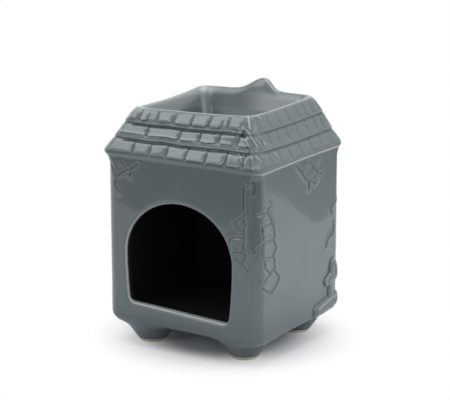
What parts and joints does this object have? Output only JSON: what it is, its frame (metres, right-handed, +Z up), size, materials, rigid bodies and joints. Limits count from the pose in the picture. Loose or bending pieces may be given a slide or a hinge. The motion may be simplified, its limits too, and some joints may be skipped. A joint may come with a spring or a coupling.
{
  "type": "oil burner",
  "caption": "Square glazed ceramic oil burner shaped like a small tiled stone house, with an arched opening for a tealight and a recessed oil basin in the roof.",
  "frame": {"origin": "on the table, under the middle of the burner", "axes": "+Z up, -Y out of the arched mouth, +X to the right of someone looking into the mouth"},
  "size_m": [0.085, 0.0796, 0.1208],
  "materials": {
    "wall_glaze": "smooth glossy slate-grey glaze, nearly black inside the candle chamber",
    "roof_glaze": "glossy slate-grey glaze, darker where it pools in the joints and paler where it thins on the tile edges",
    "basin_glaze": "glossy slate-grey glaze",
    "sprig_glaze": "glossy slate-grey glaze, paler on the raised edges",
    "foot_glaze": "glossy slate-grey glaze that stops just above a wiped base of bare cream clay"
  },
  "bodies": {
    "root": {"body_shell": "wall_glaze", "eaves_course": "roof_glaze", "middle_course": "roof_glaze", "ridge_course": "roof_glaze", "oil_basin": "basin_glaze", "rear_lug": "basin_glaze", "planter_trough": "sprig_glaze", "plant_stem": "sprig_glaze", "plant_leaf_lower": "sprig_glaze", "plant_leaf_upper": "sprig_glaze", "foot_front_left": "foot_glaze", "foot_front_right": "foot_glaze", "foot_rear_left": "foot_glaze", "foot_rear_right": "foot_glaze"}
  },
  "joints": []
}
